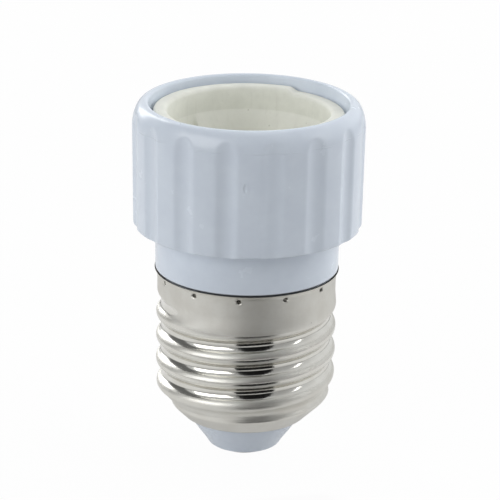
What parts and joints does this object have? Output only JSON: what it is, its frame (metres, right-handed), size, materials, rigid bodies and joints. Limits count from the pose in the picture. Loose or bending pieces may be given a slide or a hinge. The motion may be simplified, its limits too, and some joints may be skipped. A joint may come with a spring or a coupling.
{
  "type": "lamp socket adapter",
  "caption": "Lamp socket adapter with a fluted plastic collar, a ceramic twist-lock pin socket above and a threaded metal screw shell below.",
  "frame": {"origin": "centre of the end contact's lower face, which is the part's lowest point", "axes": "+Z along the adapter's axis, from the end contact towards the ceramic socket; the front, seen in the picture, faces -Y; +X to the right"},
  "size_m": [0.0332, 0.0332, 0.0532],
  "materials": {
    "housing_plastic": "moulded, semi-gloss, bluish white",
    "steatite": "unglazed, satin",
    "shell_nickel": "nickel-plated, satin to bright",
    "contact_brass": "plain",
    "fixing_steel": "nickel-plated",
    "disc_fibre": "pressed fibre, matte",
    "copper": "bare copper",
    "sleeving": "braided glass, matte",
    "solder": "dull solder"
  },
  "bodies": {
    "root": {"housing": "housing_plastic", "ceramic_insert": "steatite", "contact_left": "contact_brass", "contact_right": "contact_brass", "rivet_left": "fixing_steel", "rivet_right": "fixing_steel", "rivet_washer_left": "fixing_steel", "rivet_washer_right": "fixing_steel", "insulating_disc": "disc_fibre", "insert_screw_back": "fixing_steel", "insert_screw_front": "fixing_steel", "lead_centre_core": "copper", "lead_centre_sleeving": "sleeving", "lead_shell_core": "copper", "lead_shell_sleeving": "sleeving", "screw_shell": "shell_nickel", "end_contact": "contact_brass", "end_solder": "solder"}
  },
  "joints": []
}
